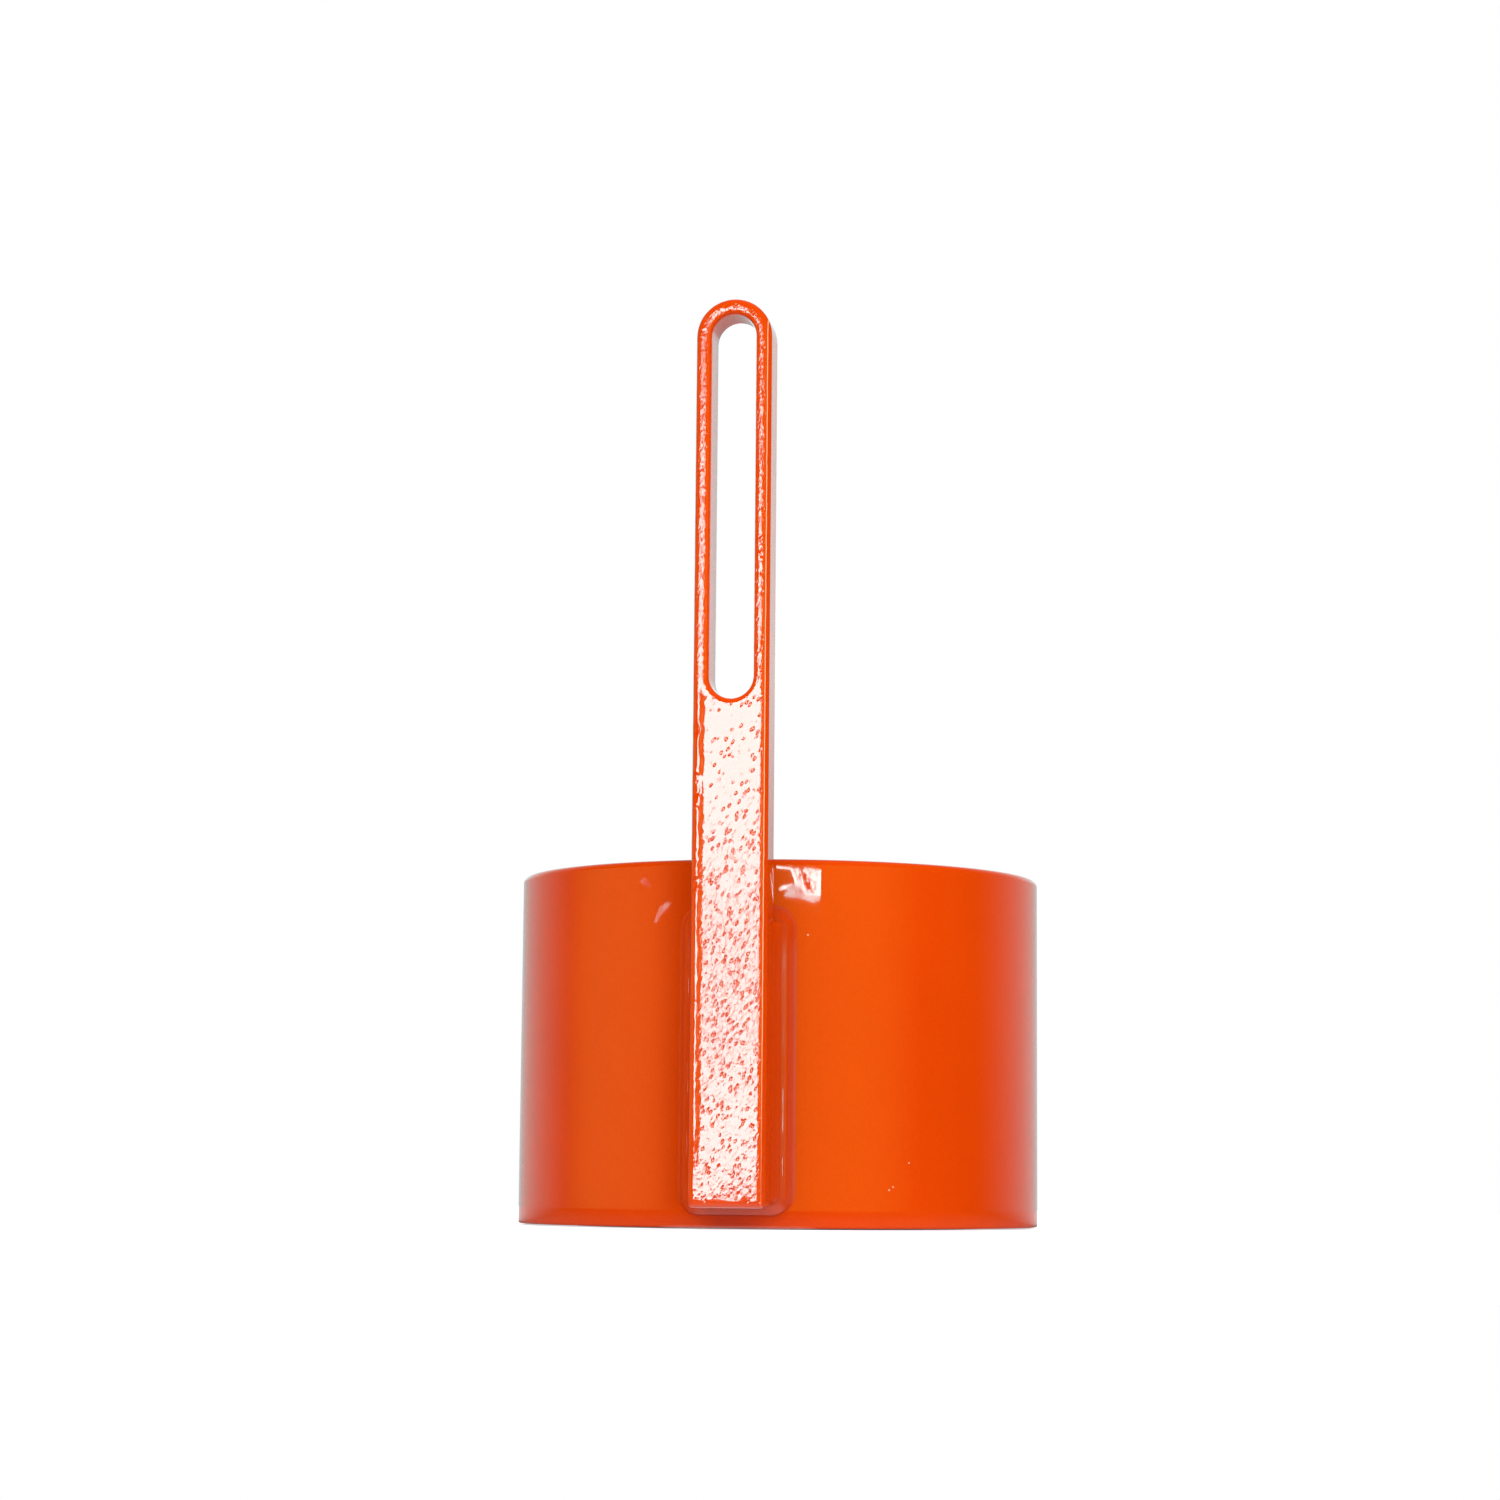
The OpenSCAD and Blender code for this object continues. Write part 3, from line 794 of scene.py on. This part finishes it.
def area(name, az0, az1, el0, el1, dist, radiance, color=(1, 1, 1)):
    """Soft box filling that range of directions, seen only as a reflection: the dome below lights the object."""
    ld = bpy.data.lights.new(name, "AREA")
    ld.shape = "RECTANGLE"
    ld.size = 2 * dist * math.tan(math.radians((az1 - az0) / 2))
    ld.size_y = 2 * dist * math.tan(math.radians((el1 - el0) / 2))
    ld.energy = radiance * math.pi * ld.size * ld.size_y
    ld.color = color
    o = bpy.data.objects.new(name, ld)
    scene.collection.objects.link(o)
    e = math.radians((el0 + el1) / 2)
    p = AX + (bearing((az0 + az1) / 2) * math.cos(e) + Vector((0, 0, math.sin(e)))) * dist
    o.matrix_world = Matrix.Translation(p) @ (AX - p).to_track_quat("-Z", "Y").to_matrix().to_4x4()
    o.visible_camera = False
    o.visible_diffuse = False
    return o


area("panel", -27.5, -8.9, -6.0, 15.5, 2.6, 21.3, color=(0.36, 0.985, 1.0))


def pane(name, az, dist, polys, pattern, color=(0.60, 0.94, 0.93)):
    """Lit window panes on an upright plane, for the drum to mirror. polys are lists of (across, height)."""
    verts, faces = [], []
    f, s = bearing(az), bearing(az + 90)
    for p in polys:
        k = len(verts)
        verts += [tuple(f * dist + s * u + Vector((0, 0, v))) for (u, v) in p]
        faces.append(tuple(range(k, len(verts))))
    me = bpy.data.meshes.new(name)
    me.from_pydata(verts, [], faces)
    o = bpy.data.objects.new(name, me)
    scene.collection.objects.link(o)
    m = bpy.data.materials.new(name)
    m.use_nodes = True
    m.node_tree.nodes.clear()
    g = Nodes(m.node_tree)
    out = g.new("ShaderNodeOutputMaterial")
    em = g.new("ShaderNodeEmission")
    em.inputs["Color"].default_value = (*color, 1)
    pattern(g, em)
    g.link(em.outputs[0], out.inputs["Surface"])
    me.materials.append(m)
    o.visible_camera = False
    o.visible_diffuse = False
    o.visible_shadow = False
    return o


def leafy(g, em):
    """A bright square with a branch across it."""
    co = g.new("ShaderNodeTexCoord").outputs["Object"]
    mp = g.new("ShaderNodeMapping")
    g.link(co, mp.inputs["Vector"])
    mp.inputs["Scale"].default_value = (1.0, 1.0, 20.0)
    n = g.noise(mp.outputs[0], 5.6, 3.0, 0.62, 1.4)
    dot = g.new("ShaderNodeVectorMath", operation="DOT_PRODUCT")
    g.link(co, dot.inputs[0])
    dot.inputs[1].default_value = (25.38, 0.0, 249.7)
    d = g.math("ADD", g.math("SUBTRACT", dot.outputs["Value"], 176.1), g.math("MULTIPLY", g.math("SUBTRACT", g.noise(mp.outputs[0], 8.5, 2.0, 0.6), 0.5), 17.0))
    branch = g.range(g.math("ABSOLUTE", d), 1.5, 2.7, 0.0, 1.0)
    lit = g.range(n, 0.40, 0.52, 5.0, 25.0)
    g.link(g.math("ADD", g.math("MULTIPLY", lit, branch), 0.4), em.inputs["Strength"])


def even(level):
    def f(g, em):
        em.inputs["Strength"].default_value = level
    return f


def hazy(level):
    def f(g, em):
        co = g.new("ShaderNodeTexCoord").outputs["Object"]
        mp = g.new("ShaderNodeMapping")
        g.link(co, mp.inputs["Vector"])
        mp.inputs["Scale"].default_value = (1.0, 1.0, 14.0)
        g.link(g.range(g.noise(mp.outputs[0], 4.0, 3.0, 0.6, 0.8), 0.3, 0.65, level * 0.35, level), em.inputs["Strength"])
    return f


pane("pane_square", 9, 5.0, [[(-0.30, 0.5540), (0.752, 0.5565), (0.735, 0.5125), (0.10, 0.5100), (-0.14, 0.5290)]], leafy)
pane("pane_frame", 9, 5.0, [[(-0.95, 0.5650), (-0.40, 0.5562), (-0.40, 0.5527), (-0.95, 0.5615)],
                            [(-0.42, 0.5562), (-0.33, 0.5550), (-0.10, 0.5245), (-0.20, 0.5245)],
                            [(0.66, 0.5562), (0.752, 0.5562), (0.735, 0.512), (0.62, 0.512)],
                            [(0.16, 0.5150), (0.735, 0.5175), (0.735, 0.5100), (0.16, 0.5070)],
                            [(-0.86, 0.5242), (-0.60, 0.5270), (-0.30, 0.5275), (-0.55, 0.5205), (-0.80, 0.5212)]], even(30.0))
pane("pane_sill", 9, 5.0, [[(-0.60, 0.5260), (-0.10, 0.5285), (0.12, 0.5095), (0.735, 0.5125), (0.715, 0.5015), (0.474, 0.4955), (-0.55, 0.5060), (-0.68, 0.5095), (-0.50, 0.5165)]], hazy(15.0), (0.30, 0.94, 0.95))
pane("pane_left", -55, 3.0, [[(-0.05, 0.313), (0.02, 0.312), (0.13, 0.322), (0.40, 0.337), (0.30, 0.338), (0.08, 0.330)]], hazy(6.0))
pane("pane_far_left", -55, 3.0, [[(-0.46, 0.364), (-0.20, 0.354), (-0.12, 0.356), (-0.30, 0.367)]], hazy(2.6))

world = bpy.data.worlds.new("studio")
scene.world = world
world.use_nodes = True
wt = world.node_tree
wt.nodes.clear()
g = Nodes(wt)
wo = g.new("ShaderNodeOutputWorld")
co = g.new("ShaderNodeTexCoord").outputs["Generated"]
sep = g.new("ShaderNodeSeparateXYZ")
g.link(co, sep.inputs[0])


def facing(v):
    n = g.new("ShaderNodeVectorMath", operation="DOT_PRODUCT")
    g.link(co, n.inputs[0])
    n.inputs[1].default_value = tuple(v)
    return n.outputs["Value"]


def hump(az, inner, outer, level):
    """Soft glow round a level bearing, full within inner degrees and gone at outer."""
    return g.range(facing(bearing(az)), math.cos(math.radians(outer)), math.cos(math.radians(inner)), 0.0, level)


# what the gloss mirrors: a dim room ahead with two warm glows, white paper at the sides and behind
back = facing(bearing(180))
white = g.math("ADD", g.range(back, 0.05, 0.90, 0.0, 0.78), g.math("MULTIPLY", g.range(back, 0.55, 0.85), g.range(sep.outputs[2], 0.086, 0.150, 0.0, 0.40)))
white = g.math("ADD", white, g.range(sep.outputs[2], 0.75, 1.0, 0.004, 0.16))
right_glow, left_glow = hump(20, 6, 47, 0.85), hump(-75, 4, 34, 0.72)
level = g.range(g.math("ABSOLUTE", sep.outputs[2]), 0.17, 0.30, 1.0, 0.0)
right_glow, left_glow = g.math("MULTIPLY", right_glow, level), g.math("MULTIPLY", left_glow, level)
warm = g.math("ADD", right_glow, left_glow)
blue = g.math("ADD", g.math("MULTIPLY", right_glow, 0.09), g.math("MULTIPLY", left_glow, 0.24))
comb = g.new("ShaderNodeCombineColor")
g.link(g.math("ADD", g.math("MULTIPLY", white, 0.66), warm), comb.inputs[0])
g.link(g.math("ADD", white, g.math("MULTIPLY", warm, 0.92)), comb.inputs[1])
g.link(g.math("ADD", white, blue), comb.inputs[2])
gloss = g.new("ShaderNodeBackground")
g.link(comb.outputs[0], gloss.inputs["Color"])
# what lights the object: a broad soft dome in front, a little to the right, and a weaker one behind
f = (bearing(4.5) * math.cos(math.radians(22)) + Vector((0, 0, math.sin(math.radians(22))))).normalized()
dome = g.new("ShaderNodeBackground")
dome.inputs["Color"].default_value = (1.0, 1.0, 1.0, 1)
lit = g.range(facing(f), 0.18, 0.72, 0.0, 2.45)
lit = g.math("SUBTRACT", lit, hump(-2, 6, 40, 1.85))
lit = g.math("ADD", lit, hump(180, 12, 48, 0.22))
rear = (bearing(180) * math.cos(math.radians(12)) + Vector((0, 0, math.sin(math.radians(12))))).normalized()
lit = g.math("ADD", lit, g.range(facing(rear), math.cos(math.radians(30)), math.cos(math.radians(8)), 0.0, 6.2))
g.link(g.math("ADD", lit, 0.05), dome.inputs["Strength"])
seen = g.new("ShaderNodeBackground")
seen.inputs["Color"].default_value = (1, 1, 1, 1)
wl = g.new("ShaderNodeLightPath")
m1 = g.new("ShaderNodeMixShader")
g.link(wl.outputs["Is Glossy Ray"], m1.inputs[0])
g.link(dome.outputs[0], m1.inputs[1])
g.link(gloss.outputs[0], m1.inputs[2])
m2 = g.new("ShaderNodeMixShader")
g.link(wl.outputs["Is Camera Ray"], m2.inputs[0])
g.link(m1.outputs[0], m2.inputs[1])
g.link(seen.outputs[0], m2.inputs[2])
g.link(m2.outputs[0], wo.inputs["Surface"])

scene.view_settings.view_transform = "Standard"
scene.view_settings.look = "None"
scene.view_settings.exposure = 0.0
scene.view_settings.gamma = 1.0
